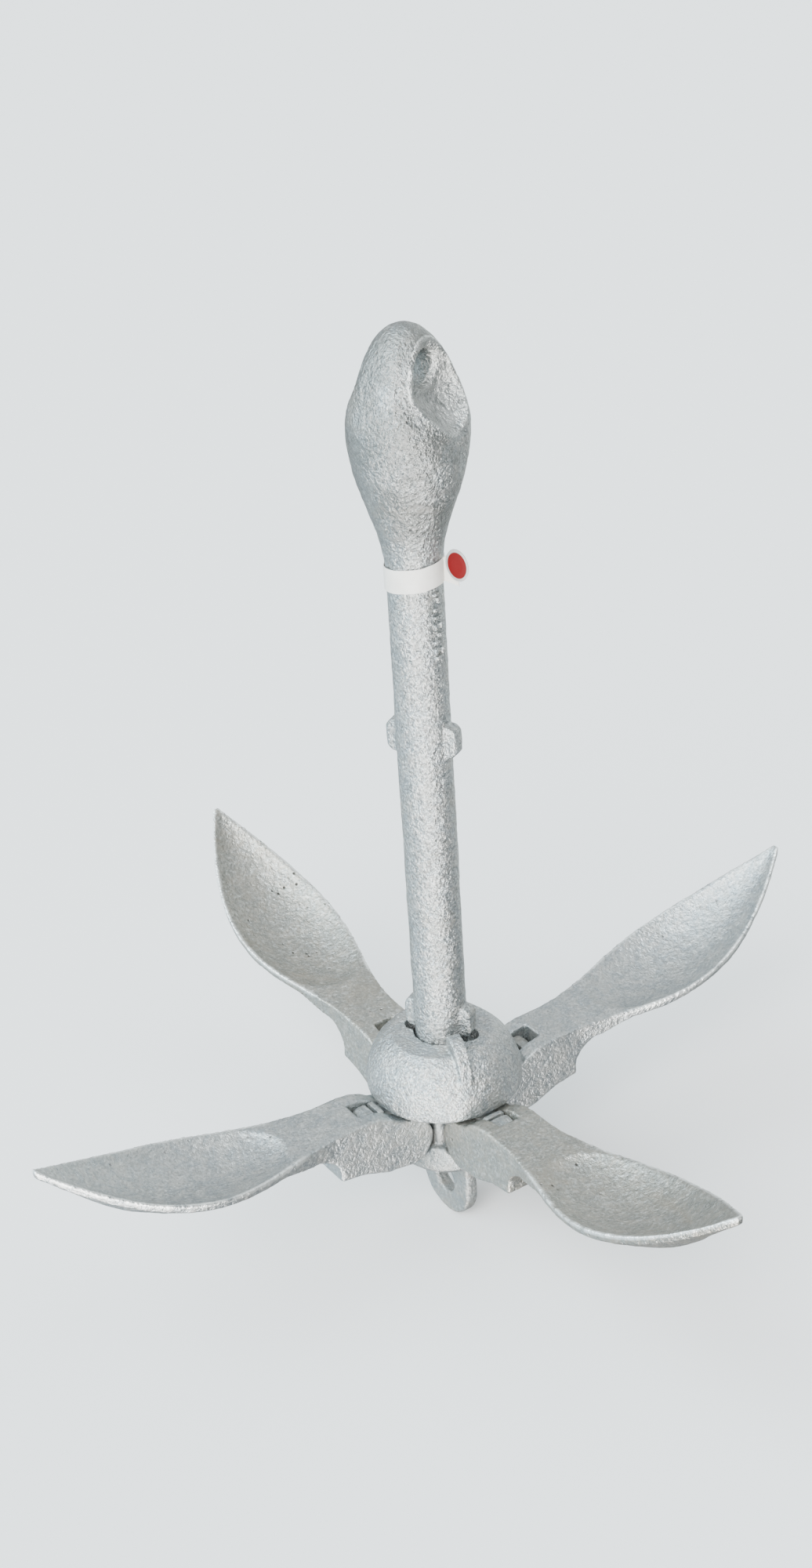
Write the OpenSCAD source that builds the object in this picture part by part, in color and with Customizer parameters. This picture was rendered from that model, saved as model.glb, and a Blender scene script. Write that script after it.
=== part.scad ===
// Folding grapnel anchor. Millimetres, +Z up along the shank.
// The origin is on the shank's axis, level with the lowest point of the trip eye.
// Four flukes turn on pins in the crown. A sliding bell collar locks them open.

/* [Shank] */
// Diameter of the round bar
shank_d = 28.8; // [26:0.2:32]
// Height where the bar ends and the neck of the head begins
neck_z = 399; // [380:1:420]
// Height of the widest part of the head above the neck
head_rise = 74; // [64:1:84]
// Widest diameter of the head
head_d = 60.8; // [56:0.2:66]
// Height of the top of the head above its widest part
crest_rise = 51.5; // [46:0.5:57]

/* [Head eye] */
// Diameter of the hole for the shackle
eye_d = 17; // [12:0.5:18]
// Depth of the centre of the hole below the top of the head
eye_drop = 21.5; // [20:0.5:23]
// Thickness of the web that the hole goes through
eye_web = 22; // [20:0.5:24]
// Direction that the eye faces, about the shank
eye_turn = -67.5; // [-90:0.5:-50]
// Distance of each dish's axis from the shank's axis
dish_offset = 33.5; // [32:0.5:35]
// Radius of each dish across, at its middle height
dish_r = 25; // [24:0.25:26.5]
// Height of each dish below its middle
dish_low = 26; // [25:0.5:27]
// Radius of the curve that each dish's floor follows above its middle
dish_top_sweep = 60; // [45:1:80]
// Depth of the middle of each dish below the top of the head
dish_drop = 29.5; // [28:0.5:31]

/* [Lugs] */
// Direction of the first lug of each pair, about the shank
lug_turn = -60; // [-68:1:-50]
// Width of a lug round the shank
lug_w = 9.5; // [7:0.5:11]
// Distance from the shank's axis to a lug's outer face
lug_reach = 20; // [18:0.25:20.5]
// Height of a lower lug
low_lug_h = 18; // [12:1:24]
// Height of the bottom of the upper lugs
high_lug_z = 296; // [270:1:310]
// Height of an upper lug
high_lug_h = 18; // [12:1:30]

/* [Collar] */
// Height of the collar's widest ring
ring_z = 94; // [94:0.5:96]
// Widest diameter of the collar
collar_d = 87; // [84:0.5:90]
// Diameter of the flat top face
collar_top_d = 57; // [52:0.5:60]
// Height of the flat top face above the widest ring
collar_rise = 29; // [27:0.5:31]
// Depth of the rim below the widest ring
rim_drop = 5; // [4:0.25:5.5]
// Thickness of the bell's wall at the rim
bell_wall = 6.5; // [5:0.25:8]
// Thickness of the bell's roof at the bore
bell_roof = 6; // [5:0.25:9]
// Gap between the shank and the collar's bore, on the radius
bore_gap = 1.2; // [0.8:0.1:1.6]
// Gap between a lug and its keyway, on each side
keyway_gap = 1.4; // [0.8:0.1:2]
// Gap between a lug's outer face and the end of its keyway
keyway_end = 1.8; // [1.6:0.1:3]
// Thickness of the thumb horn
horn_w = 7.5; // [5:0.5:9]
// Height of the thumb horn above the top face
horn_h = 8; // [4:0.5:9]
// Direction of the thumb horn, about the shank
horn_turn = -105; // [-112:1:-98]
// Travel of the collar up the shank
collar_travel = 230; // [220:1:240]

/* [Crown] */
// Diameter of the hinge pins
pin_d = 9; // [7:0.5:10]
// Distance of each hinge pin from the shank's axis
pivot_r = 49; // [48:0.5:50]
// Height of the hinge pins
pivot_z = 81.5; // [80.5:0.5:82]
// Radius of a crown lug's end about its hinge pin
knuckle_r = 12; // [10:0.25:12]
// Width of a crown lug
knuckle_w = 12.5; // [10:0.25:12.5]
// Width of the closed seam across the top of a crown lug
seam_w = 2; // [1:0.25:3]
// Width across the flats of the crown's core
core_w = 37; // [34:0.5:38]
// Diameter that rounds the core's corners
core_d = 51; // [48:0.5:52]
// Height of the core's top, where the shank's shoulder sits
core_top_z = 83; // [80:0.5:84]
// Diameter of the crown's base
base_d = 58; // [54:0.5:60]
// Height of the underside of the base's rim
base_z = 46; // [42:0.5:48]
// Height of the base's rim
base_h = 16; // [10:0.5:18]
// Diameter of the spigot at the shank's foot
spigot_d = 18; // [14:0.5:20]
// Length of the spigot
spigot_l = 34; // [28:0.5:36]
// Diameter of the rivet that holds the spigot
rivet_d = 7; // [5:0.5:9]
// Radial clearance of the spigot and of the rivet
seat_gap = 0.05; // [0.02:0.01:0.1]
// Radial clearance of the hinge pins
pin_gap = 0.05; // [0.02:0.01:0.1]

/* [Trip eye] */
// Outer radius of the trip eye
trip_r = 22; // [20:0.5:24]
// Thickness of the trip eye
trip_t = 8; // [6:0.5:12]
// Diameter of the hole in the trip eye
trip_hole_d = 17.2; // [12:0.2:20]

/* [Flukes] */
// Width of a fluke's fork
fork_w = 32.5; // [31:0.25:33]
// Width of the slot in the fork
slot_w = 13.5; // [13:0.25:15]
// Gap between a crown lug's end and the end of the slot
slot_gap = 0.5; // [0.4:0.1:1.5]
// Radius of the fork's rounded inner end
nose_r = 15.5; // [14:0.25:15.5]
// Distance of the inner end's centre from the shank's axis
nose_x = 35.5; // [35.5:0.25:37]
// Height of the inner end's centre
nose_z = 70; // [69:0.5:71]
// Distance of the heel's lower corner from the shank's axis
heel_x = 81; // [78:0.5:84]
// Height of the heel's lower corner
heel_z = 66; // [62:0.5:68]
// Distance of a fluke's tip from the shank's axis
tip_x = 245.5; // [240:0.5:252]
// Height of a fluke's tip
tip_z = 150.5; // [145:0.5:155]
// Half the greatest width of the spoon
spoon_w = 32.4; // [28:0.2:34]
// Distance of the spoon's widest place from the shank's axis
spoon_x = 163; // [155:1:170]
// Depth of the spoon's hollow
spoon_dish = 10; // [6:0.5:13]
// Thickness of the spoon along its middle
spoon_t = 7; // [6:0.25:9]
// Thickness of the spoon at its rim
spoon_edge = 5; // [3:0.25:6]
// Fold of each fluke when the collar has run its travel, in degrees
fluke_fold = 76; // [70:0.5:77]
// How far each fluke lies above the nominal angle: right, back, left, front
fluke_lift = [-0.6, 2.5, -1.5, -0.5]; // [-3:0.1:3]

/* [Price band] */
// Depth of the middle of the paper band below the neck
band_drop = 1.5; // [1.5:0.5:10]
// Width of the band
band_w = 12.5; // [8:0.5:13]
// Thickness of the paper
paper_t = 0.4; // [0.3:0.05:0.6]
// Gap between the paper and the shank
paper_gap = 0.6; // [0.5:0.05:0.8]
// Tilt of the band
band_tilt = 7; // [0:1:8]
// Length of the loose tail
tail_l = 9; // [6:0.5:14]
// Direction of the tail, about the shank
tail_turn = -50; // [-60:1:-30]
// Width of the oval tag
tag_w = 11.2; // [8:0.2:12]
// Height of the oval tag
tag_h = 17.2; // [12:0.2:18]
// How far the tag's middle is above the band's
tag_rise = 3; // [0:0.5:5]

/* [Hidden] */

$fn = 64;
eps = 0.01;
zinc = [0.70, 0.73, 0.74];
zinc_dull = [0.60, 0.62, 0.61];

shank_r = shank_d / 2;
head_wide_z = neck_z + head_rise;
head_top_z = head_wide_z + crest_rise;
eye_z = head_top_z - eye_drop;
dish_z = head_top_z - dish_drop;
band_z = neck_z - band_drop;
rim_z = ring_z - rim_drop;
collar_top_z = ring_z + collar_rise;
lug_gap_z = 1;
low_lug_z = collar_top_z + lug_gap_z;
bore_r = shank_r + bore_gap;
keyway_w = lug_w + 2 * keyway_gap;
keyway_r = lug_reach + keyway_end;
slot_end = pivot_r + knuckle_r + slot_gap;

// A cubic curve through a and d that leaves towards b and arrives from c
function curve(a, b, c, d, steps) =
    [for (i = [0:steps]) let (t = i / steps, s = 1 - t)
        s * s * s * a + 3 * s * s * t * b + 3 * s * t * t * c + t * t * t * d];

// Points of an arc, in a plane
function arc(c, r, from, to, steps) =
    [for (i = [0:steps]) let (a = from + (to - from) * i / steps)
        c + r * [cos(a), sin(a)]];

// Stands a side view, drawn as distance and height, on end with a width
module side_view(width) {
    rotate([90, 0, 0]) linear_extrude(width, center = true) children();
}

// ---------------------------------------------------------------- shank

module head_outline() {
    head_r = head_d / 2;
    polygon(concat(
        [[0, neck_z]],
        curve([shank_r, neck_z], [shank_r, neck_z + 0.33 * head_rise],
            [head_r, head_wide_z - 0.38 * head_rise], [head_r, head_wide_z], 14),
        curve([head_r, head_wide_z], [head_r, head_wide_z + 0.3 * crest_rise],
            [0.58 * head_r, head_top_z], [0, head_top_z], 14)));
}

// Radius of each dish at a height from its middle: it closes faster below than above
function dish_reach(h) = h < 0
    ? dish_r * (1 - pow(-h / dish_low, 1.5))
    : dish_r - dish_top_sweep + sqrt(dish_top_sweep * dish_top_sweep - h * h);

// The bowl on one side of the head, round across
module dish() {
    steps = 12;
    bowl = concat(
        [for (i = [0:steps - 1]) let (h = -dish_low * (1 - i / steps)) [dish_reach(h), h]],
        [for (i = [0:steps]) let (h = dish_drop * i / steps) [dish_reach(h), h]]);
    translate([0, 0, dish_z])
        intersection() {
            translate([dish_offset, 0, 0])
                rotate_extrude() polygon(concat(bowl, [[0, dish_drop]]));
            translate([eye_web / 2, -head_d, -dish_low])
                cube([head_d, 2 * head_d, dish_low + dish_drop]);
        }
}

// A lug cast on the shank, chamfered at its ends and along its outer edges
module shank_lug(z, h) {
    chamfer = 3;
    edge = 1.5;
    half = lug_w / 2;
    translate([0, 0, z])
        intersection() {
            side_view(lug_w)
                polygon([[0, 0], [lug_reach - chamfer, 0], [lug_reach, chamfer],
                    [lug_reach, h - chamfer], [lug_reach - chamfer, h], [0, h]]);
            linear_extrude(h)
                polygon([[0, -half], [lug_reach - edge, -half], [lug_reach, edge - half],
                    [lug_reach, half - edge], [lug_reach - edge, half], [0, half]]);
        }
}

module shank() {
    color(zinc)
        difference() {
            union() {
                translate([0, 0, core_top_z - spigot_l])
                    cylinder(d = spigot_d, h = spigot_l + 1);
                translate([0, 0, core_top_z])
                    cylinder(r = shank_r, h = neck_z - core_top_z);
                for (side = [0, 180])
                    rotate(lug_turn + side) {
                        shank_lug(low_lug_z, low_lug_h);
                        shank_lug(high_lug_z, high_lug_h);
                    }
            }
            rivet_hole(spigot_d + 2);
        }
}

module head() {
    color(zinc)
        difference() {
            rotate_extrude() head_outline();
            for (side = [0, 180])
                rotate(eye_turn + side) dish();
            rotate(eye_turn)
                translate([0, 0, eye_z])
                    rotate([0, 90, 0]) cylinder(d = eye_d, h = head_d + 2, center = true);
        }
}

// ---------------------------------------------------------------- crown

rivet_z = core_top_z - spigot_l / 2;
rivet_turn = 135;

module rivet_hole(length) {
    rotate(rivet_turn)
        translate([0, 0, rivet_z])
            rotate([0, 90, 0])
                cylinder(d = rivet_d + 2 * seat_gap, h = length, center = true);
}

// Side view of one crown lug: a round end about the hinge pin, flat on top
module knuckle_outline() {
    top_z = pivot_z + 10;
    under_rim_z = rim_z - 1.2;
    shoulder_x = collar_d / 2 + 1.5;
    root_x = core_w / 2 - 2;
    difference() {
        union() {
            intersection() {
                translate([pivot_r, pivot_z]) circle(knuckle_r);
                translate([root_x, top_z - 3 * knuckle_r]) square([3 * knuckle_r, 3 * knuckle_r]);
            }
            polygon([[root_x, under_rim_z - 1], [shoulder_x - 1.5, under_rim_z],
                [shoulder_x, top_z], [pivot_r, top_z],
                [pivot_r, pivot_z - knuckle_r], [root_x, base_z + 8]]);
        }
        translate([pivot_r - seam_w / 2, top_z - 4.5]) square([seam_w, 10]);
        polygon([[0, under_rim_z - 1], [shoulder_x - 1.5, under_rim_z],
            [shoulder_x, top_z + 1], [0, top_z + 1]]);
    }
}

// The room that a fork's rounded inner end sweeps as its fluke folds
module fork_sweep() {
    reach = norm([pivot_r - nose_x, pivot_z - nose_z]) + nose_r + 0.7;
    translate([pivot_r, 0, pivot_z])
        rotate([90, 0, 0]) cylinder(r = reach, h = fork_w + 1, center = true);
}

module crown_core() {
    intersection() {
        translate([-core_w / 2, -core_w / 2, base_z])
            cube([core_w, core_w, core_top_z - base_z]);
        translate([0, 0, base_z]) cylinder(d = core_d, h = core_top_z - base_z);
    }
}

module trip_ring() {
    skirt_d = 26;
    color(zinc_dull) difference() {
        union() {
            translate([0, 0, base_z - 12])
                cylinder(d1 = skirt_d, d2 = base_d, h = 12);
            rotate(90)
                side_view(trip_t) {
                    translate([0, trip_r]) circle(trip_r);
                    translate([-trip_r, trip_r]) square([2 * trip_r, base_z - trip_r]);
                }
        }
        translate([0, 0, trip_r])
            rotate([0, 90, 0]) cylinder(d = trip_hole_d, h = base_d, center = true);
    }
}

module crown() {
    color(zinc_dull)
        difference() {
            union() {
                crown_core();
                difference() {
                    translate([0, 0, base_z]) cylinder(d = base_d, h = base_h);
                    for (quarter = [0:3]) rotate(90 * quarter) fork_sweep();
                }
                for (quarter = [0:3])
                    rotate(90 * quarter) side_view(knuckle_w) knuckle_outline();
            }
            translate([0, 0, core_top_z - spigot_l - 0.5])
                cylinder(d = spigot_d + 2 * seat_gap, h = spigot_l + 1);
            for (quarter = [0:3])
                rotate(90 * quarter)
                    translate([pivot_r, 0, pivot_z])
                        rotate([90, 0, 0])
                            cylinder(d = pin_d + 2 * pin_gap, h = knuckle_w + 2, center = true);
            rivet_hole(core_d + 2);
        }
}

module crown_rivet() {
    color(zinc_dull)
        rotate(rivet_turn)
            translate([0, 0, rivet_z])
                rotate([0, 90, 0]) cylinder(d = rivet_d, h = core_d - 1, center = true);
}

// ---------------------------------------------------------------- collar

// Radius of the arc that rises straight up from the ring to the top face
dome_r = (pow(collar_rise, 2) + pow((collar_d - collar_top_d) / 2, 2)) / (collar_d - collar_top_d);
dome_x = collar_d / 2 - dome_r;
dome_end = asin(collar_rise / dome_r);

module bell_outline() {
    rim_round = 2;
    roof_z = collar_top_z - bell_roof;
    inner_r = collar_d / 2 - bell_wall;
    inner_x = (pow(inner_r, 2) - pow(bore_r, 2) - pow(roof_z - rim_z, 2)) / (2 * (inner_r - bore_r));
    inner_dome = inner_r - inner_x;
    inner_end = acos((bore_r - inner_x) / inner_dome);
    polygon(concat(
        [[bore_r, collar_top_z]],
        arc([inner_x, rim_z], inner_dome, inner_end, 0, 12),
        [[collar_d / 2 - rim_round, rim_z]],
        [[collar_d / 2 - 0.3, rim_z + rim_round]],
        arc([dome_x, ring_z], dome_r, 0, dome_end, 14)));
}

// Side view of the thumb horn, which rises from the roof and runs down the dome
module horn_outline() {
    top = collar_top_z + horn_h;
    start_x = bore_r + 0.6;
    round_r = 4;
    foot = arc([dome_x, ring_z], dome_r - 2, 27, dome_end, 6);
    polygon(concat(
        [[start_x, collar_top_z - 2]],
        arc([start_x + round_r, top - round_r], round_r, 180, 90, 6),
        curve([start_x + 8, top], [collar_top_d / 2 + 4, top],
            [collar_d / 2 - 3, ring_z + 25], [collar_d / 2 - 4, ring_z + 15], 8),
        foot));
}

module keyway() {
    reach = keyway_r - keyway_w / 2;
    translate([0, 0, rim_z]) {
        translate([0, -keyway_w / 2, 0])
            cube([reach, keyway_w, collar_top_z - rim_z + horn_h + 1]);
        translate([reach, 0, 0])
            cylinder(d = keyway_w, h = collar_top_z - rim_z + horn_h + 1);
    }
}

module collar() {
    color(zinc)
        difference() {
            union() {
                rotate_extrude() bell_outline();
                rotate(horn_turn) side_view(horn_w) horn_outline();
            }
            for (side = [0, 180]) rotate(lug_turn + side) keyway();
        }
}

// ---------------------------------------------------------------- flukes

// Where each fluke stands: right, back, left, front
function fluke_turn(i) = 90 * i;

// Side view of the fork, from its rounded inner end to the heel
module fork_outline() {
    top_z = ring_z + 2;
    under_rim_z = rim_z - 0.6;
    rim_r = collar_d / 2;
    nose = [nose_x, nose_z];
    polygon(concat(
        [[heel_x, top_z + 0.4], [slot_end, top_z - 0.1], [rim_r + 9.5, top_z - 1.5],
            [rim_r + 2.7, top_z - 4.6], [rim_r - 1.5, under_rim_z]],
        arc(nose, nose_r, 96, 262, 16),
        [[heel_x - 30, heel_z - 8.5], [heel_x - 15, heel_z - 2.5]],
        curve([heel_x, heel_z], [heel_x - 1.5, heel_z + 12],
            [heel_x + 3, top_z - 13], [heel_x + 20, top_z - 8.5], 6),
        [[heel_x + 20, top_z - 4], [heel_x + 2, top_z - 2]]));
}

// Height of the rim of the spoon, and its place, along the fluke
root_x = heel_x - 6;
rim_line = curve([root_x, ring_z + 2.2], [root_x + 70, ring_z + 3.8],
    [tip_x - 55.5, ring_z + 13], [tip_x, tip_z], 22);
// Half width of the blade against distance from the shank's axis
width_line = concat(
    curve([root_x, fork_w / 2 - 0.65], [root_x + 40, 19], [spoon_x - 31, spoon_w],
        [spoon_x, spoon_w], 12),
    curve([spoon_x, spoon_w], [spoon_x + 31, spoon_w], [tip_x - 23.5, 18], [tip_x, 1.5], 16));
hollow_start = root_x + 31;
hollow_end = tip_x - 3;
// Thickness of the blade against distance: the neck thins into the spoon
neck_line = [[root_x, 12.5], [heel_x, 13.5], [heel_x + 4, 12], [heel_x + 10, 10.5],
    [root_x + 30, 9.5], [root_x + 50, spoon_t], [tip_x - 40, spoon_t], [tip_x, spoon_edge]];

function hollow(x) =
    x <= hollow_start || x >= hollow_end ? 0
    : spoon_dish * pow(sin(180 * pow((x - hollow_start) / (hollow_end - hollow_start), 0.9)), 0.8);

// One cross-section of the blade: along the top from one rim to the other, then back below
function blade_section(x, rim) =
    let (w = lookup(x, width_line), deep = hollow(x), mid = lookup(x, neck_line),
        thin = min(mid, spoon_edge + max(0, 8 * (root_x + 43 - x) / 30)), n = 6)
    concat(
        [for (i = [-n:n]) let (u = i / n) [x, w * u, rim - deep * (1 - u * u)]],
        [for (i = [n:-1:-n]) let (u = i / n)
            [x, 0.98 * w * u, rim - deep * (1 - u * u) - thin - (mid - thin) * (1 - u * u)]]);

module blade() {
    sections = [for (p = rim_line) blade_section(p[0], p[1])];
    per = len(sections[0]);
    count = len(sections);
    last = (count - 1) * per;
    root_mid = per * count;
    tip_mid = root_mid + 1;
    middles = [for (p = [rim_line[0], rim_line[count - 1]])
        [p[0], 0, p[1] - lookup(p[0], neck_line) / 2]];
    points = concat([for (s = sections) each s], middles);
    sides = [for (j = [0:count - 2]) for (i = [0:per - 1])
        let (a = j * per + i, b = j * per + (i + 1) % per)
        each [[a, b, b + per], [a, b + per, a + per]]];
    root_cap = [for (i = [0:per - 1]) [root_mid, (i + 1) % per, i]];
    tip_cap = [for (i = [0:per - 1]) [tip_mid, last + i, last + (i + 1) % per]];
    polyhedron(points, concat(sides, root_cap, tip_cap));
}

module fluke(i) {
    rotate(fluke_turn(i))
        translate([pivot_r, 0, pivot_z])
            rotate([0, -fluke_lift[i], 0])
                translate([-pivot_r, 0, -pivot_z])
                    difference() {
                        union() {
                            side_view(fork_w) fork_outline();
                            blade();
                        }
                        translate([0, -slot_w / 2, 0])
                            cube([slot_end, slot_w, 2 * ring_z]);
                        translate([pivot_r, 0, pivot_z])
                            rotate([90, 0, 0])
                                cylinder(d = pin_d + 2 * seat_gap, h = fork_w + 2, center = true);
                    }
}

module fluke_pin(i) {
    color(zinc_dull)
        rotate(fluke_turn(i))
            translate([pivot_r, 0, pivot_z])
                rotate([90, 0, 0]) cylinder(d = pin_d, h = fork_w - 0.4, center = true);
}

module fluke_right() { color(zinc) fluke(0); }
module fluke_back() { color(zinc) fluke(1); }
module fluke_left() { color(zinc) fluke(2); }
module fluke_front() { color(zinc) fluke(3); }

module pin_right() { fluke_pin(0); }
module pin_back() { fluke_pin(1); }
module pin_left() { fluke_pin(2); }
module pin_front() { fluke_pin(3); }

// ---------------------------------------------------------------- price band

band_r = shank_r + paper_gap;

// Stands its children at the band's height, with the tail along X
module band_place() {
    translate([0, 0, band_z]) rotate(tail_turn) children();
}

// A wide slab that cuts the band to its width at its tilt
module band_slab() {
    span = 4 * (band_r + tail_l);
    rotate([0, -band_tilt, 0]) cube([span, span, band_w], center = true);
}

module price_band() {
    tall = 3 * band_w;
    color("white")
        band_place()
            intersection() {
                union() {
                    difference() {
                        cylinder(r = band_r + paper_t, h = tall, center = true);
                        cylinder(r = band_r, h = tall + 2, center = true);
                    }
                    translate([band_r + paper_t / 2, -paper_t / 2, -tall / 2])
                        cube([tail_l, paper_t, tall]);
                }
                band_slab();
            }
}

module oval_tag() {
    tag_t = 0.6;
    color([0.75, 0.12, 0.15])
        band_place()
            translate([band_r + tail_l - 1, -paper_t / 2, tag_rise])
                rotate([90, -band_tilt, 0])
                    linear_extrude(tag_t)
                        polygon([for (a = [0:10:350]) [tag_w / 2 * cos(a), tag_h / 2 * sin(a)]]);
}

shank();
head();
crown();
trip_ring();
crown_rivet();
collar();
fluke_right();
fluke_back();
fluke_left();
fluke_front();
pin_right();
pin_back();
pin_left();
pin_front();
price_band();
oval_tag();
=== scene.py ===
"""A galvanised folding grapnel anchor, cast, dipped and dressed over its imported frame."""

import logging
import math
from dataclasses import dataclass, field
from enum import Enum
from typing import Any, Callable, Optional, Sequence

import bpy
from mathutils import Matrix, Vector, noise


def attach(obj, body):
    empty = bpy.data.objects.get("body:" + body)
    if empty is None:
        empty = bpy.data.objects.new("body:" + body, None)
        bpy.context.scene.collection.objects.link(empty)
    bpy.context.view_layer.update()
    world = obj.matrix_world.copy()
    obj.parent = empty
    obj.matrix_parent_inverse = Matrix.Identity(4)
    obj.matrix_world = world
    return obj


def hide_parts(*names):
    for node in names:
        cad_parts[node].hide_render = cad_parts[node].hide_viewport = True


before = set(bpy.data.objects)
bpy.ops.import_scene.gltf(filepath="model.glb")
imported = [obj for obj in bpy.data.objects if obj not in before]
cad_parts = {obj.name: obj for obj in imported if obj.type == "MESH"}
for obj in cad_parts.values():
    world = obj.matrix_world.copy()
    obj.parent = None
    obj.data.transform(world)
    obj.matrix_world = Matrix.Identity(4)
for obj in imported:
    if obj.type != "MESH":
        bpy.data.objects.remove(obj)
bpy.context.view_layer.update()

LOG = logging.getLogger("grapnel")
MM = 0.001

Point = tuple[float, float]
Triple = tuple[float, float, float]
Colour = Triple
WHITE: Colour = (1.0, 1.0, 1.0)
DAYLIGHT: Colour = (1.0, 0.985, 0.96)
SKY_BLUE: Colour = (0.76, 0.92, 1.0)


def cubic(t: float, *knots: Point) -> Point:
    """The point t of the way along a cubic curve.

    Args:
        t: From 0 at the first knot to 1 at the last.
        *knots: The start, the point left towards, the point arrived from, and the end.

    Returns:
        The point.
    """
    s = 1 - t
    weights = (s ** 3, 3 * s * s * t, 3 * s * t * t, t ** 3)
    return tuple(sum(w * p[k] for w, p in zip(weights, knots)) for k in (0, 1))


def curve(a: Point, b: Point, c: Point, d: Point, steps: int) -> list[Point]:
    """Points of a cubic curve through a and d, both ends included."""
    return [cubic(i / steps, a, b, c, d) for i in range(steps + 1)]


def arc(centre: Point, radius: float, start: float, end: float, steps: int) -> list[Point]:
    """Points of an arc, with its angles in degrees."""
    angles = [math.radians(start + (end - start) * i / steps) for i in range(steps + 1)]
    return [(centre[0] + radius * math.cos(a), centre[1] + radius * math.sin(a))
            for a in angles]


def lookup(x: float, table: Sequence[Point]) -> float:
    """The value at x in a table of rising places, held level past its ends."""
    if x <= table[0][0]:
        return table[0][1]
    for (x0, y0), (x1, y1) in zip(table, table[1:]):
        if x <= x1:
            return y0 + (y1 - y0) * (x - x0) / max(x1 - x0, 1e-9)
    return table[-1][1]


def ease(value: float, low: float, high: float) -> float:
    """Rises smoothly from 0 at low to 1 at high."""
    t = min(1.0, max(0.0, (value - low) / (high - low)))
    return t * t * (3 - 2 * t)


def spun(degrees: float) -> Matrix:
    """A turn about the shank's axis."""
    return Matrix.Rotation(math.radians(degrees), 4, "Z")


# ------------------------------------------------------------------ workbench


class Bench:
    """Modelling moves, made with the editor's own operators. Sizes are in millimetres."""

    @staticmethod
    def clear() -> None:
        """Leaves edit mode and lets go of everything."""
        if bpy.context.object and bpy.context.object.mode != "OBJECT":
            bpy.ops.object.mode_set(mode="OBJECT")
        bpy.ops.object.select_all(action="DESELECT")

    @staticmethod
    def take(*pieces: bpy.types.Object) -> None:
        """Selects only these pieces, the first one active."""
        Bench.clear()
        for piece in pieces:
            piece.select_set(True)
        bpy.context.view_layer.objects.active = pieces[0]

    @staticmethod
    def edit(piece: bpy.types.Object) -> None:
        """Opens a piece in edit mode with all of it selected."""
        Bench.take(piece)
        bpy.ops.object.mode_set(mode="EDIT")
        bpy.ops.mesh.select_all(action="SELECT")

    @staticmethod
    def close() -> None:
        """Turns the normals outwards and leaves edit mode."""
        bpy.ops.mesh.select_all(action="SELECT")
        bpy.ops.mesh.normals_make_consistent(inside=False)
        bpy.ops.object.mode_set(mode="OBJECT")

    @staticmethod
    def named(name: str) -> bpy.types.Object:
        """Names the piece that an operator has just added."""
        piece = bpy.context.object
        piece.name = name
        piece.data.name = name
        return piece

    @staticmethod
    def outline(name: str, points: Sequence[Point], fill: str = "NGON") -> bpy.types.Object:
        """A ring of vertices laid to an outline in the side view.

        Args:
            name: The piece's name.
            points: Distance from the axis and height of each corner.
            fill: NGON for a face, NOTHING for a wire.

        Returns:
            The flat piece.
        """
        Bench.clear()
        bpy.ops.mesh.primitive_circle_add(vertices=len(points), radius=MM, fill_type=fill)
        piece = Bench.named(name)
        for vertex, (x, z) in zip(piece.data.vertices, points):
            vertex.co = (x * MM, 0, z * MM)
        return piece

    @staticmethod
    def slab(name: str, points: Sequence[Point], width: float) -> bpy.types.Object:
        """A side view extruded to a width, centred on the axis."""
        piece = Bench.outline(name, points)
        Bench.edit(piece)
        bpy.ops.mesh.extrude_region_move(
            TRANSFORM_OT_translate={"value": (0, width * MM, 0)})
        bpy.ops.mesh.select_all(action="SELECT")
        bpy.ops.transform.translate(value=(0, -width * MM / 2, 0))
        Bench.close()
        return piece

    @staticmethod
    def turned(name: str, points: Sequence[Point], steps: int = 96) -> bpy.types.Object:
        """A closed outline spun about the shank's axis.

        Args:
            name: The piece's name.
            points: The outline. It may touch the axis at its first and last points.
            steps: Facets round the axis.

        Returns:
            The turned piece.
        """
        piece = Bench.outline(name, points, "NOTHING")
        on_axis = abs(points[0][0]) < 1e-9 and abs(points[-1][0]) < 1e-9
        Bench.edit(piece)
        if on_axis:
            bpy.ops.mesh.select_all(action="DESELECT")
            bpy.ops.object.mode_set(mode="OBJECT")
            piece.data.edges[len(points) - 1].select = True
            bpy.ops.object.mode_set(mode="EDIT")
            bpy.ops.mesh.delete(type="EDGE")
            bpy.ops.mesh.select_all(action="SELECT")
        bpy.ops.mesh.spin(steps=steps, angle=math.tau, center=(0, 0, 0), axis=(0, 0, 1))
        bpy.ops.mesh.select_all(action="SELECT")
        bpy.ops.mesh.remove_doubles(threshold=1e-6)
        Bench.close()
        return piece

    @staticmethod
    def rod(name: str, radius: float, length: float, centre: Sequence[float],
            axis: str = "Z", facets: int = 48) -> bpy.types.Object:
        """A round bar along one axis, for a boss or a bore."""
        turn = {"X": (0, math.pi / 2, 0), "Y": (math.pi / 2, 0, 0), "Z": (0, 0, 0)}[axis]
        Bench.clear()
        bpy.ops.mesh.primitive_cylinder_add(
            vertices=facets, radius=radius * MM, depth=length * MM,
            location=Vector(centre) * MM, rotation=turn)
        piece = Bench.named(name)
        Bench.settle(piece)
        return piece

    @staticmethod
    def block(name: str, low: Sequence[float], high: Sequence[float]) -> bpy.types.Object:
        """A block between two corners."""
        Bench.clear()
        bpy.ops.mesh.primitive_cube_add(size=1)
        piece = Bench.named(name)
        for vertex in piece.data.vertices:
            vertex.co = [
                (lo if c < 0 else hi) * MM for c, lo, hi in zip(vertex.co, low, high)]
        return piece

    @staticmethod
    def settle(piece: bpy.types.Object) -> None:
        """Puts a piece's place and turn into its mesh."""
        piece.data.transform(piece.matrix_basis)
        piece.matrix_basis = Matrix.Identity(4)

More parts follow.
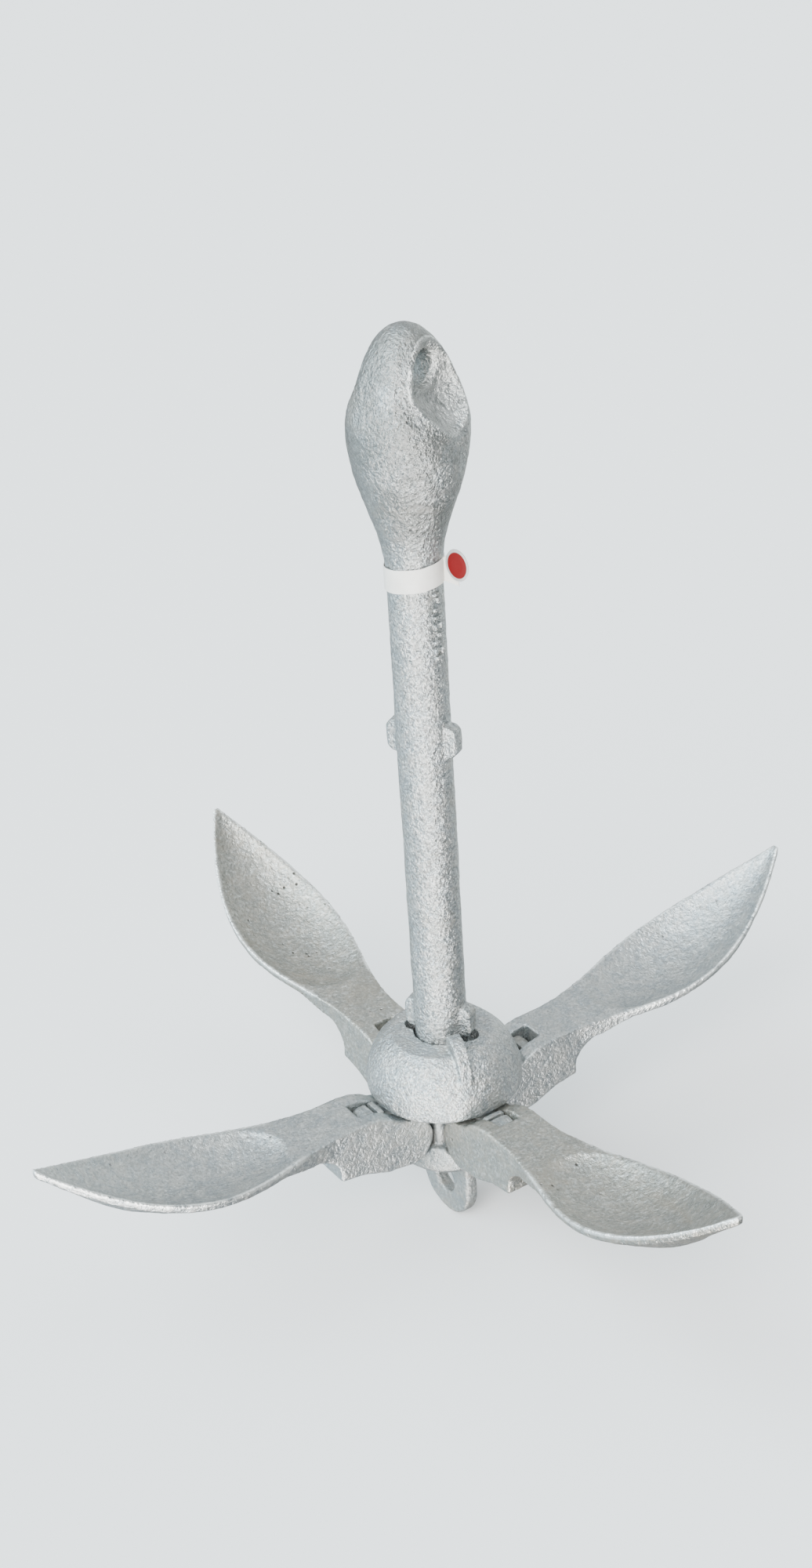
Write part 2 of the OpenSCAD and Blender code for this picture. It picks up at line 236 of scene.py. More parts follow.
    @staticmethod
    def modify(piece: bpy.types.Object, kind: str, **settings: Any) -> None:
        """Adds one modifier with its settings and applies it."""
        Bench.take(piece)
        modifier = piece.modifiers.new(kind.title(), kind)
        for key, value in settings.items():
            setattr(modifier, key, value)
        bpy.ops.object.modifier_apply(modifier=modifier.name)

    @staticmethod
    def bevel(piece: bpy.types.Object, width: float, segments: int = 3) -> None:
        """Rounds a piece's sharp edges."""
        Bench.modify(piece, "BEVEL", width=width * MM, segments=segments,
                     limit_method="ANGLE", angle_limit=math.radians(35))

    @staticmethod
    def cut(piece: bpy.types.Object, *cutters: bpy.types.Object) -> None:
        """Cuts the cutters out of a piece and throws them away."""
        for cutter in cutters:
            Bench.modify(piece, "BOOLEAN", operation="DIFFERENCE", object=cutter)
            bpy.data.objects.remove(cutter)

    @staticmethod
    def join(*pieces: bpy.types.Object) -> bpy.types.Object:
        """Joins pieces to the first one."""
        Bench.take(*pieces)
        bpy.ops.object.join()
        return pieces[0]

    @staticmethod
    def cast(piece: bpy.types.Object, grain: float, rounds: int) -> None:
        """Runs joined solids into one casting with softened edges.

        Args:
            piece: Overlapping closed solids in one mesh.
            grain: The size of the new faces.
            rounds: How many times the skin is relaxed.
        """
        Bench.modify(piece, "REMESH", mode="VOXEL", voxel_size=grain * MM,
                     adaptivity=0, use_smooth_shade=True)
        Bench.modify(piece, "SMOOTH", factor=0.5, iterations=rounds)

    @staticmethod
    def pucker(piece: bpy.types.Object, depth: float, size: float, seed: int,
               mask: Optional[Callable[[Vector], float]] = None) -> None:
        """Raises and sinks the skin as molten zinc and sand leave it.

        Args:
            piece: The casting.
            depth: The greatest rise, in millimetres.
            size: The width of one lump, in millimetres.
            seed: Picks the pattern.
            mask: How much of the depth a place takes, from 0 to 1.
        """
        shift = Vector((seed * 3.17, seed * 1.73, seed * 0.91))
        moves = []
        for vertex in piece.data.vertices:
            lift = noise.fractal(
                vertex.co / (size * MM) + shift, 0.8, 2.0, 2, noise_basis="PERLIN_ORIGINAL")
            share = mask(vertex.co / MM) if mask else 1.0
            moves.append(vertex.normal * (lift * depth * share * MM))
        for vertex, move in zip(piece.data.vertices, moves):
            vertex.co += move

    @staticmethod
    def written(piece: bpy.types.Object, name: str) -> Any:
        """The values, one a vertex, of a new attribute that a finish reads."""
        return piece.data.attributes.new(name, "FLOAT", "POINT").data

    @staticmethod
    def copy(piece: bpy.types.Object, name: str) -> bpy.types.Object:
        """A copy of a piece with its own mesh."""
        twin = piece.copy()
        twin.data = piece.data.copy()
        twin.name = name
        twin.data.name = name
        bpy.context.scene.collection.objects.link(twin)
        return twin


# ------------------------------------------------------------------ materials


@dataclass(frozen=True)
class Sock:
    """An output socket that takes part in sums written in Python."""

    graph: "Graph"
    out: Optional[bpy.types.NodeSocket]

    def calc(self, kind: str, other: Any, swap: bool = False) -> "Sock":
        """One Math node on this value and another."""
        first, second = (other, self) if swap else (self, other)
        return self.graph.node("ShaderNodeMath", {"operation": kind}, {0: first, 1: second})

    def __add__(self, other: Any) -> "Sock":
        """The sum."""
        return self.calc("ADD", other)

    def __sub__(self, other: Any) -> "Sock":
        """The difference."""
        return self.calc("SUBTRACT", other)

    def __rsub__(self, other: Any) -> "Sock":
        """The difference, the other way round."""
        return self.calc("SUBTRACT", other, swap=True)

    def __mul__(self, other: Any) -> "Sock":
        """The product."""
        return self.calc("MULTIPLY", other)

    __radd__ = __add__
    __rmul__ = __mul__

    def between(self, low: float, high: float) -> "Sock":
        """Spreads the range from low to high over 0 to 1, smoothly."""
        return self.graph.node(
            "ShaderNodeMapRange", {"interpolation_type": "SMOOTHSTEP"},
            {"Value": self, "From Min": low, "From Max": high})


class Graph:
    """The nodes of one material, or of the room."""

    def __init__(self, owner: Any) -> None:
        """Starts with no nodes.

        Args:
            owner: The material or the world that the nodes belong to.
        """
        self.owner = owner
        self.owner.use_nodes = True
        self.tree = self.owner.node_tree
        self.tree.nodes.clear()

    def node(self, kind: str, settings: Optional[dict[str, Any]] = None,
             inputs: Optional[dict[Any, Any]] = None, out: Any = 0) -> Sock:
        """Makes one node.

        Args:
            kind: The node's type.
            settings: Its own settings, set first.
            inputs: A value or a socket for each named or numbered input.
            out: The output to hand back, or None where the node has none.

        Returns:
            That output.
        """
        made = self.tree.nodes.new(kind)
        for key, value in (settings or {}).items():
            setattr(made, key, value)
        for key, value in (inputs or {}).items():
            if isinstance(value, Sock):
                self.tree.links.new(value.out, made.inputs[key])
            else:
                made.inputs[key].default_value = value
        return Sock(self, made.outputs[out] if out is not None else None)

    def mix(self, share: Any, first: Any, second: Any) -> Sock:
        """Mixes two colours by a share from 0 to 1."""
        def flat(value: Any) -> Any:
            """Adds alpha to a plain colour."""
            return value if isinstance(value, Sock) else (*value, 1)
        return self.node("ShaderNodeMix", {"data_type": "RGBA"},
                         {0: share, 6: flat(first), 7: flat(second)}, out=2)

    def noise(self, place: Sock, size: float, detail: float = 2, rough: float = 0.5,
              warp: float = 0) -> Sock:
        """Noise whose lumps are about size millimetres wide."""
        return self.node("ShaderNodeTexNoise", None, {
            "Vector": place, "Scale": 1 / (size * MM), "Detail": detail,
            "Roughness": rough, "Distortion": warp})

    def finish(self, **inputs: Any) -> bpy.types.Material:
        """Ends the material in one Principled shader.

        Args:
            **inputs: The shader's inputs, with an underscore for each space.

        Returns:
            The material.
        """
        shader = self.node("ShaderNodeBsdfPrincipled", None,
                           {key.replace("_", " "): value for key, value in inputs.items()})
        self.node("ShaderNodeOutputMaterial", None, {"Surface": shader}, out=None)
        return self.owner


@dataclass(frozen=True)
class ZincFinish:
    """Hot-dip galvanised iron: cool grey zinc with an orange-peel skin, pits and stains, and
    painted highlights where a piece carries the edge attribute.
    """

    name: str
    cool: Colour = (0.38, 0.415, 0.43)
    warm: Colour = (0.50, 0.505, 0.49)
    bright: Colour = (0.80, 0.82, 0.81)
    stain: Colour = (0.34, 0.30, 0.24)
    speck: Colour = (0.11, 0.117, 0.113)
    speckled: float = 0.6
    stained: float = 0.35
    pitted: float = 0.5
    peel: float = 2.4
    depth: float = 1.1
    smooth: float = 0.22
    rough: float = 0.38
    metal: float = 0.85
    grain: float = 0.7
    darken_from: float = 10.0
    turn: float = 0.0

    def build(self) -> bpy.types.Material:
        """Makes the material."""
        g = Graph(bpy.data.materials.new(self.name))
        seat = g.node("ShaderNodeTexCoord", out="Object")
        place = g.node("ShaderNodeMapping", None, {
            "Vector": seat, "Rotation": (0, 0, math.radians(self.turn)),
            "Location": (self.turn * 0.01, 0, 0)})
        cloud = g.noise(place, 26, 4, 0.6)
        mottle = g.noise(place, 7, 5, 0.65, 0.6)
        peel = g.noise(place, self.peel, 3, 0.55, 0.4)
        grit = g.noise(place, 1.5, 3, 0.65)
        cells = g.node("ShaderNodeTexVoronoi", {"feature": "F1"}, {
            "Vector": place, "Scale": 1 / (6.5 * MM), "Randomness": 1.0})
        pits = (1 - cells.between(0.05, 0.16)) * cloud.between(0.52, 0.60) * self.pitted
        stains = g.noise(place, 38, 5, 0.7, 0.8).between(0.50, 0.70) * self.stained
        ground = g.mix(mottle.between(0.36, 0.66), self.cool, self.warm)
        fleck = (peel.between(0.50, 0.68) * 0.35) + (grit.between(0.55, 0.70) * 0.35)
        ground = g.mix(fleck, ground, self.bright)
        ground = g.mix((1 - grit.between(0.36, 0.52)) * mottle.between(0.2, 0.5) * self.speckled,
                       ground, self.speck)
        # Darker grey above darken_from in height, in blotches; on the bar this darkens the head.
        height_z = g.node("ShaderNodeSeparateXYZ", None, {0: seat}, out="Z")
        darkened = height_z.between(self.darken_from, self.darken_from + 0.03)
        ground = g.mix(darkened * cloud.between(0.25, 0.6) * 0.8, ground, (0.20, 0.205, 0.195))
        # Painted highlight and painted light: the edge attribute lightens the dish rims, bowls
        # and bore walls, and the spoon rims, where the zinc is also rubbed.
        edge = g.node("ShaderNodeAttribute", {"attribute_name": "edge"}, out="Fac")
        ground = g.mix(edge * mottle.between(0.30, 0.52), ground, (0.88, 0.90, 0.88))
        ground = g.mix(stains, ground, self.stain)
        ground = g.mix(pits, ground, (0.05, 0.045, 0.04))
        spread = self.rough - self.smooth
        rough = (mottle.between(0.35, 0.68) * spread) + self.smooth \
            + stains * 0.15 + pits * 0.3
        height = peel + mottle * 0.6 + grit * self.grain - pits * 1.2
        bump = g.node("ShaderNodeBump", None, {
            "Height": height, "Distance": self.depth * MM, "Strength": 1.0})
        return g.finish(Base_Color=ground, Metallic=self.metal, Roughness=rough, Normal=bump)


@dataclass(frozen=True)
class PaperFinish:
    """Coated white paper, a little creased and yellowed."""

    name: str
    tint: Colour = (0.80, 0.78, 0.74)

    def build(self) -> bpy.types.Material:
        """Makes the material."""
        g = Graph(bpy.data.materials.new(self.name))
        place = g.node("ShaderNodeTexCoord", out="Object")
        age = g.noise(place, 9, 4, 0.6)
        fibre = g.noise(place, 0.7, 3, 0.6)
        ground = g.mix(age.between(0.35, 0.75) * 0.5, self.tint, (0.66, 0.62, 0.56))
        bump = g.node("ShaderNodeBump", None, {
            "Height": fibre * 0.4 + age, "Distance": 0.12 * MM, "Strength": 1.0})
        return g.finish(Base_Color=ground, Roughness=age * 0.2 + 0.38, Normal=bump)


@dataclass(frozen=True)
class StickerFinish:
    """A glossy oval sticker: a red field inside a silver rim."""

    name: str
    field_red: Colour = (0.13, 0.0, 0.001)
    rim_grey: Colour = (0.42, 0.42, 0.42)

    def build(self) -> bpy.types.Material:
        """Makes the material, which reads the sticker's own rim attribute."""
        g = Graph(bpy.data.materials.new(self.name))
        rim = g.node("ShaderNodeAttribute", {"attribute_name": "rim"}, out="Fac")
        place = g.node("ShaderNodeTexCoord", out="Object")
        smear = g.noise(place, 3, 3, 0.6)
        edge = rim.between(0.80, 0.86)
        red = g.mix(smear.between(0.4, 0.8) * 0.35, self.field_red, (0.10, 0.001, 0.002))
        ground = g.mix(edge, red, self.rim_grey)
        return g.finish(Base_Color=ground, Metallic=edge * 0.6,
                        Roughness=smear * 0.15 + 0.35, Specular_IOR_Level=0.2)


class Finish(Enum):
    """The finishes of the anchor's pieces."""

    BAR = ZincFinish("dipped_bar", depth=1.15, rough=0.3, smooth=0.17, darken_from=0.40, turn=10)
    BELL = ZincFinish("dipped_bell", stained=0.15, pitted=0.2, depth=1.15, speckled=0.3, peel=2.0,
                      smooth=0.12, rough=0.26, turn=40)
    CROWN = ZincFinish("dipped_crown", cool=(0.26, 0.285, 0.29), warm=(0.35, 0.35, 0.335),
                       bright=(0.55, 0.56, 0.55), stained=0.5, depth=0.7, speckled=0.4,
                       smooth=0.34, rough=0.5, metal=0.6, turn=75)
    SPOON = ZincFinish("dipped_spoon", stained=0.2, depth=0.65, speckled=0.35,
                       smooth=0.26, rough=0.42, turn=120)
    SPOON_WARM = ZincFinish("dipped_spoon_warm", warm=(0.43, 0.405, 0.355),
                            cool=(0.34, 0.345, 0.32), stained=0.6,
                            pitted=0.9, depth=0.65, speckled=0.35,
                            smooth=0.26, rough=0.42, turn=200)
    PIN = ZincFinish("dipped_pin", stained=0.3, depth=0.6, turn=300)
    PAPER = PaperFinish("band_paper")
    STICKER = StickerFinish("sticker_red")

    def material(self) -> bpy.types.Material:
        """The finish's material, made once."""
        known = bpy.data.materials.get(self.value.name)
        return known or self.value.build()


def dress(piece: bpy.types.Object, finish: Finish) -> None:
    """Gives a piece one finish in every material slot."""
    if not piece.data.materials:
        piece.data.materials.append(None)
    for i in range(len(piece.data.materials)):
        piece.data.materials[i] = finish.material()


def seat(piece: bpy.types.Object, body: str, slot: str, *nodes: str) -> None:
    """Ties a finished piece to its body and hides the plain nodes it stands for.

    Args:
        piece: The finished piece.
        body: The body that it moves with.
        slot: Not used.
        *nodes: The plain nodes that it replaces.
    """
    Bench.settle(piece)
    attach(piece, body)
    if nodes:
        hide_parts(*nodes)
    LOG.info("%s: %d faces on %s", piece.name, len(piece.data.polygons), body)


# ------------------------------------------------------------------ the shank


@dataclass
class Shank:
    """The round bar with its eyed head and its four lugs."""

    bar_r: float = 14.4
    foot_z: float = 82.0
    neck_z: float = 399.0
    wide_z: float = 473.0
    wide_r: float = 30.4
    top_z: float = 524.5
    eye_r: float = 8.5
    eye_z: float = 503.0
    eye_web: float = 22.0
    eye_turn: float = -67.5
    dish_offset: float = 33.5
    dish_r: float = 25.0
    dish_low: float = 26.0
    dish_top_sweep: float = 60.0
    dish_z: float = 495.0
    lug_turn: float = -60.0
    lug_w: float = 9.5
    lug_reach: float = 20.0
    lug_h: float = 18.0
    lug_bottoms: tuple[float, float] = (124.0, 296.0)
    lean: float = 1.3
    lean_turn: float = -32.5
    marks_turn: float = -80.0
    faces: tuple[float, float] = (-163.0, -110.0)
    face_span: float = 53.0
    face_foot: Point = (474.0, 494.0)
    face_head: Point = (508.0, 520.0)
    press: float = 0.4
    mouth: Point = (19.5, 26.0)
    lip: float = 2.6
    flare: tuple[Point, ...] = ((6, 40), (2.6, 13), (1.2, 10.5), (0.2, 7))
    mark_rise: float = 1.6

    def profile(self) -> list[Point]:
        """The bar's and the head's outline, from the foot up."""
        rise = self.wide_z - self.neck_z
        dome = self.top_z - self.wide_z
        bar = [(0.0, self.foot_z), (self.bar_r - 0.8, self.foot_z)]
        bar += [(self.bar_r, self.foot_z + 0.8), (self.bar_r, 200.0), (self.bar_r, 320.0)]
        belly = curve((self.bar_r, self.neck_z), (self.bar_r, self.neck_z + 0.33 * rise),
                      (self.wide_r, self.wide_z - 0.38 * rise), (self.wide_r, self.wide_z), 40)
        crest = curve((self.wide_r, self.wide_z), (self.wide_r, self.wide_z + 0.3 * dome),
                      (0.58 * self.wide_r, self.top_z), (0.0, self.top_z), 40)
        return bar + belly + crest[1:]

    def dish_frame(self, side: float) -> Matrix:
        """Stands a piece at a dish's height, facing the same way."""
        return spun(self.eye_turn + side) @ Matrix.Translation((0, 0, self.dish_z * MM))

    def reach(self, height: float) -> float:
        """A dish's radius at a height from its middle."""
        if height < 0:
            return self.dish_r * (1 - min(1.0, -height / self.dish_low) ** 1.5)
        radius = self.dish_top_sweep
        return self.dish_r - radius + math.sqrt(max(0.0, radius ** 2 - height ** 2))

    def dish(self, side: float) -> bpy.types.Object:
        """The cutter for the bowl on one side of the head."""
        high = self.top_z - self.dish_z
        steps = 16
        heights = [-self.dish_low * (1 - i / steps) for i in range(1, steps + 1)] \
            + [high * i / steps for i in range(1, steps + 1)]
        bowl = [(self.reach(h), h) for h in heights]
        outline = [(0.0, -self.dish_low)] + bowl + [(0.0, high)]
        cutter = Bench.turned("dish_cutter", outline, 96)
        for vertex in cutter.data.vertices:
            vertex.co.x = max(vertex.co.x + self.dish_offset * MM, self.eye_web / 2 * MM)
        cutter.data.transform(self.dish_frame(side))
        return cutter

    def eye(self) -> bpy.types.Object:
        """The cutter for the shackle's hole, flared at both mouths."""
        half = [(self.eye_r + wider, place) for wider, place in self.flare]
        far = self.flare[0][1]
        cutter = Bench.turned(
            "eye_cutter", [(0, -far)] + [(r, -place) for r, place in half] + half[::-1]
            + [(0, far)], 64)
        cutter.data.transform(
            spun(self.eye_turn) @ Matrix.Translation((0, 0, self.eye_z * MM))
            @ Matrix.Rotation(math.pi / 2, 4, "Y"))
        return cutter

    def lug(self, bottom: float, turn: float) -> bpy.types.Object:
        """One lug with chamfered ends and rounded edges."""
        reach, high, chamfer = self.lug_reach, self.lug_h, 3.0
        piece = Bench.slab("lug", [
            (4, bottom), (reach - chamfer, bottom), (reach, bottom + chamfer),
            (reach, bottom + high - chamfer), (reach - chamfer, bottom + high),
            (4, bottom + high)], self.lug_w)
        Bench.bevel(piece, 1.4)
        piece.data.transform(spun(turn))
        return piece

    def build(self) -> bpy.types.Object:
        """Models the casting.

        Returns:
            The shank.
        """
        shank = Bench.turned("shank_casting", self.profile(), 180)
        self.flatten(shank)
        self.sink_lip(shank)
        Bench.cut(shank, self.dish(0), self.dish(180))
        Bench.cut(shank, self.eye())
        lugs = [self.lug(z, self.lug_turn + side)
                for z in self.lug_bottoms for side in (0, 180)]
        Bench.join(shank, *lugs)
        Bench.cast(shank, 0.85, 3)
        way = Vector((math.cos(math.radians(self.lean_turn)),
                      math.sin(math.radians(self.lean_turn)), 0))
        for vertex in shank.data.vertices:
            vertex.co += way * (self.lean * ease(vertex.co.z / MM, 400, 500) * MM)
        self.paint_dish_light(shank)
        Bench.pucker(shank, 0.28, 24, 3, lambda p: ease(p.z, 140, 180))
        Bench.pucker(shank, 0.22, 4.5, 5)
        return shank

    def flatten(self, shank: bpy.types.Object) -> None:
        """Presses two broad faces into each side of the head, between the eyes."""
        for vertex in shank.data.vertices:
            x, y, z = vertex.co / MM
            share = ease(z, *self.face_foot) * (1 - ease(z, *self.face_head)) * self.press
            bearing = math.degrees(math.atan2(y, x)) % 180
            off = min((abs(bearing - face % 180) for face in self.faces))
            if off < self.face_span / 2:
                edge = math.cos(math.radians(self.face_span / 2))
                squeeze = 1 - share * (1 - edge / math.cos(math.radians(off)))
                vertex.co.x *= squeeze
                vertex.co.y *= squeeze

    def sink_lip(self, shank: bpy.types.Object) -> None:
        """Slopes the skin down to the rim of the near dish."""
        face = self.dish_frame(0)
        back = face.inverted()
        for vertex in shank.data.vertices:
            place = back @ vertex.co
            if place.x < 0:
                continue
            y, z = place.y / MM, place.z / MM
            out = math.hypot(y / self.mouth[0], z / self.mouth[1])
            deep = self.lip * (1 - ease(out, 0.95, 1.6)) \
                * (1 - ease(z, 4, 22)) * (1 - ease(y, 2, 14))
            if deep:
                place.x -= deep * MM
                vertex.co = face @ place

    def paint_dish_light(self, shank: bpy.types.Object) -> None:
        """Writes on the mesh the painted light of each dish: a painted highlight on its rim most,
        painted light on its bore's mouth next, and a little on its bowl.
        """
        edge = Bench.written(shank, "edge")
        for side in (0, 180):
            back = self.dish_frame(side).inverted()
            for i, vertex in enumerate(shank.data.vertices):
                if vertex.co.z < (self.dish_z - 40) * MM:
                    continue
                place = back @ vertex.co / MM
                if place.x < 0 or place.z < -self.dish_low:
                    continue
                clear = math.hypot(place.x - self.dish_offset, place.y) - self.reach(place.z)
                # bowl: painted light; rim: painted highlight; hole: painted light on the bore's
                # wall, which would lie in shade.
                bowl = 0.4 * (1 - ease(clear, 0.2, 0.8))
                rim = 0.8 * ease(clear, -0.1, 0.3) * (1 - ease(clear, 0.5, 1.1))
                bore = math.hypot(place.y, place.z + self.dish_z - self.eye_z) - self.eye_r
                hole = 0.7 * (1 - ease(bore, 0.3, 0.9)) * (1 - ease(place.x, 10, 12))
                edge[i].value = max(bowl, rim, hole, edge[i].value)

    def marks(self) -> bpy.types.Object:
        """A column of plain raised bars and pips, cast on the bar's side.

        Returns:
            The marks, sunk a little into the bar.
        """
        made = []
        rows = ((354.4, 0, 2.9, 1.1), (357.8, -2.1, 0.9, 1.7), (357.8, 2.1, 0.9, 1.7),
                (363.0, 0, 3.1, 0.9), (366.8, 1.2, 1.9, 1.0), (371.0, -1.3, 1.2, 1.9),
                (371.4, 2.1, 0.9, 1.6), (376.4, 0, 3.0, 0.9), (380.6, -0.6, 2.2, 1.1),
                (385.2, 0.8, 1.1, 1.8), (388.7, 0, 2.7, 0.9))
        for height, aside, wide, high in rows:
            Bench.clear()
            bpy.ops.mesh.primitive_uv_sphere_add(segments=20, ring_count=12, radius=1)
            mark = Bench.named("mark")
            for vertex in mark.data.vertices:
                x, y, z = (max(-1.0, min(1.0, c * 1.25)) for c in vertex.co)
                angle = (aside + y * wide) / self.bar_r
                out = self.bar_r - 0.1 + self.mark_rise * x
                vertex.co = (out * math.cos(angle) * MM, out * math.sin(angle) * MM,
                             (height + z * high) * MM)
            made.append(mark)
        marks = Bench.join(*made)
        marks.name = marks.data.name = "casting_marks"
        Bench.take(marks)
        bpy.ops.object.shade_smooth()
        Bench.pucker(marks, 0.25, 2.0, 7)
        marks.data.transform(spun(self.marks_turn))
        return marks

    def dress(self) -> None:
        """Builds, finishes and seats the shank and its marks."""
        marks = self.marks()
        dress(marks, Finish.BAR)
        seat(marks, "anchor", "zinc_bar")
        shank = self.build()
        dress(shank, Finish.BAR)
        seat(shank, "anchor", "zinc_bar", "shank", "head")


# ------------------------------------------------------------------ the collar


@dataclass
class Collar:
    """The bell that slides on the shank, with two keyways and a thumb horn."""

    ring_z: float = 94.0
    ring_r: float = 43.5
    top_r: float = 28.5
    top_z: float = 123.0
    rim_z: float = 89.0
    bore_r: float = 15.6
    wall: float = 6.5
    roof: float = 6.0
    key_w: float = 12.3
    key_r: float = 21.8
    key_turn: float = -60.0
    horn_w: float = 7.5
    horn_h: float = 8.0
    horn_turn: float = -105.0

    @property
    def key_reach(self) -> float:
        """How far out the straight part of a keyway runs."""
        return self.key_r - self.key_w / 2

    def dome(self) -> tuple[Point, float, float]:
        """The outer dome's centre, radius and end angle."""
        rise, run = self.top_z - self.ring_z, self.ring_r - self.top_r
        radius = (rise ** 2 + run ** 2) / (2 * run)
        return (self.ring_r - radius, self.ring_z), radius, math.degrees(math.asin(rise / radius))

    def profile(self) -> list[Point]:
        """The bell's section."""
        centre, radius, end = self.dome()
        inner_r = self.ring_r - self.wall
        roof_z = self.top_z - self.roof
        inner_x = (inner_r ** 2 - self.bore_r ** 2 - (roof_z - self.rim_z) ** 2) \
            / (2 * (inner_r - self.bore_r))
        inner = inner_r - inner_x
        inner_end = math.degrees(math.acos((self.bore_r - inner_x) / inner))
        return [(self.bore_r, self.top_z)] \
            + arc((inner_x, self.rim_z), inner, inner_end, 0, 16) \
            + [(self.ring_r - 2, self.rim_z), (self.ring_r - 0.3, self.rim_z + 2)] \
            + arc(centre, radius, 0, end, 20)

    def keyway(self, turn: float) -> bpy.types.Object:
        """The cutter for the straight part of one keyway."""
        top = self.top_z + self.horn_h + 2
        piece = Bench.block("keyway_cutter", (0, -self.key_w / 2, self.rim_z - 2),
                            (self.key_reach, self.key_w / 2, top))
        piece.data.transform(spun(turn))
        return piece

    def keyway_end(self, turn: float) -> bpy.types.Object:
        """The cutter for a keyway's round end."""
        middle = (self.top_z + self.rim_z) / 2
        piece = Bench.rod("keyway_end", self.key_w / 2, self.top_z - self.rim_z + 24,
                          (self.key_reach, 0, middle))
        piece.data.transform(spun(turn))
        return piece

    def horn(self) -> bpy.types.Object:
        """The thumb horn, which rises from the roof and runs down the dome."""
        centre, radius, end = self.dome()
        top = self.top_z + self.horn_h
        start = self.bore_r + 0.6
        points = [(start, self.top_z - 2)] \
            + arc((start + 4, top - 4), 4, 180, 90, 6) \
            + curve((start + 8, top), (self.top_r + 4, top),
                    (self.ring_r - 3, self.ring_z + 25), (self.ring_r - 4, self.ring_z + 15), 8) \
            + arc(centre, radius - 2, 27, end, 6)
        piece = Bench.slab("horn", points, self.horn_w)
        Bench.bevel(piece, 1.6)
        piece.data.transform(spun(self.horn_turn))
        return piece

    def build(self) -> bpy.types.Object:
        """Models the casting.

        Returns:
            The collar.
        """
        collar = Bench.turned("collar_casting", self.profile())
        turns = (self.key_turn, self.key_turn + 180)
        Bench.cut(collar, *[self.keyway(turn) for turn in turns])
        Bench.cut(collar, *[self.keyway_end(turn) for turn in turns])
        Bench.join(collar, self.horn())
        Bench.cast(collar, 0.6, 2)
        Bench.pucker(collar, 0.35, 14, 11, lambda p: ease(p.xy.length, 26, 34))
        Bench.pucker(collar, 0.2, 3.6, 13)
        return collar

    def dress(self) -> None:
        """Builds, finishes and seats the collar."""
        collar = self.build()
        dress(collar, Finish.BELL)
        seat(collar, "collar", "zinc_collar", "collar")


# ------------------------------------------------------------------ the crown


@dataclass
class Crown:
    """The core with its four knuckles, its base and the trip eye."""

    core_w: float = 37.0
    core_top: float = 83.0
    base_d: float = 58.0
    base_z: float = 46.0
    base_h: float = 16.0
    pivot: Point = (49.0, 81.5)
    knuckle_r: float = 12.0
    knuckle_w: float = 12.5
    seam_w: float = 2.0
    seam_deep: float = 4.5
    flat_rise: float = 10.0
    sweep_r: float = 33.9
    sweep_w: float = 33.5
    trip_r: float = 22.0
    trip_t: float = 8.0
    trip_hole_r: float = 8.6
    pin_bore: float = 4.62

    def knuckle(self, turn: float) -> bpy.types.Object:
        """One knuckle: flat on top, round about its pin, with a seam across."""
        px, pz = self.pivot
        top = pz + self.flat_rise
        side = math.degrees(math.asin(self.flat_rise / self.knuckle_r))
        points = [(15, 86.8), (43.5, 87.6), (44.6, top)] \
            + arc((px, pz), self.knuckle_r, side, -90, 14) + [(15, self.base_z + 8)]
        piece = Bench.slab("knuckle", points, self.knuckle_w)
        Bench.bevel(piece, 1.2)
        Bench.cut(piece, Bench.block(
            "seam_cutter", (px - self.seam_w / 2, -20, top - self.seam_deep),
            (px + self.seam_w / 2, 20, top + 5)))
        piece.data.transform(spun(turn))
        return piece

    def sweep(self, turn: float) -> bpy.types.Object:
        """The cutter for the room that a fork's nose sweeps."""
        piece = Bench.rod("sweep_cutter", self.sweep_r, self.sweep_w,
                          (self.pivot[0], 0, self.pivot[1]), "Y", 96)
        piece.data.transform(spun(turn))
        return piece

    def trip_eye(self) -> bpy.types.Object:
        """The flat ring under the base."""
        r = self.trip_r
        points = [(r, self.base_z + 1)] + arc((0, r), r, 0, -180, 36) + [(-r, self.base_z + 1)]
        piece = Bench.slab("trip_eye", points, self.trip_t)
        Bench.cut(piece, Bench.rod("trip_cutter", self.trip_hole_r, 30, (0, 0, r), "Y"))
        Bench.bevel(piece, 1.8)
        piece.data.transform(spun(90))
        return piece

    def build(self) -> bpy.types.Object:
        """Models the casting.

        Returns:
            The crown.
        """
        half = self.core_w / 2
        base = Bench.rod("crown_casting", self.base_d / 2, self.base_h,
                         (0, 0, self.base_z + self.base_h / 2), facets=96)
        Bench.bevel(base, 1.5)
        turns = (0, 90, 180, 270)
        Bench.cut(base, *[self.sweep(turn) for turn in turns])
        core = Bench.block("core", (-half, -half, self.base_z), (half, half, self.core_top))
        Bench.bevel(core, 4)
        skirt = Bench.turned("skirt", [(0, self.base_z - 12), (13, self.base_z - 12),
                                       (28, self.base_z - 0.5), (28, self.base_z + 1),
                                       (0, self.base_z + 1)])
        Bench.join(base, core, skirt, self.trip_eye(), *[self.knuckle(turn) for turn in turns])
        Bench.cast(base, 0.75, 2)
        Bench.pucker(base, 0.3, 12, 21, lambda p: 1 - ease(p.z, 58, 66))
        Bench.pucker(base, 0.16, 4, 23)
        px, pz = self.pivot
        for axis, x, y in (("X", 0, -px), ("X", 0, px), ("Y", -px, 0), ("Y", px, 0)):
            Bench.cut(base, Bench.rod("pin_cutter", self.pin_bore, 16, (x, y, pz), axis))
        return base

    def dress(self) -> None:
        """Builds, finishes and seats the crown, and finishes its rivet."""
        crown = self.build()
        dress(crown, Finish.CROWN)
        seat(crown, "anchor", "zinc_crown", "crown", "trip_ring")
        dress(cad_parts["crown_rivet"], Finish.CROWN)


# ------------------------------------------------------------------ the flukes


class Side(Enum):
    """Where each fluke stands: its turn about the shank, lift, pattern and finish."""

    RIGHT = (0, -0.6, 31, Finish.SPOON)
    BACK = (90, 2.5, 37, Finish.SPOON_WARM)
    LEFT = (180, -1.5, 41, Finish.SPOON)
    FRONT = (270, -0.5, 47, Finish.SPOON_WARM)

    @property
    def word(self) -> str:
        """The side's name as the nodes spell it."""
        return self.name.lower()


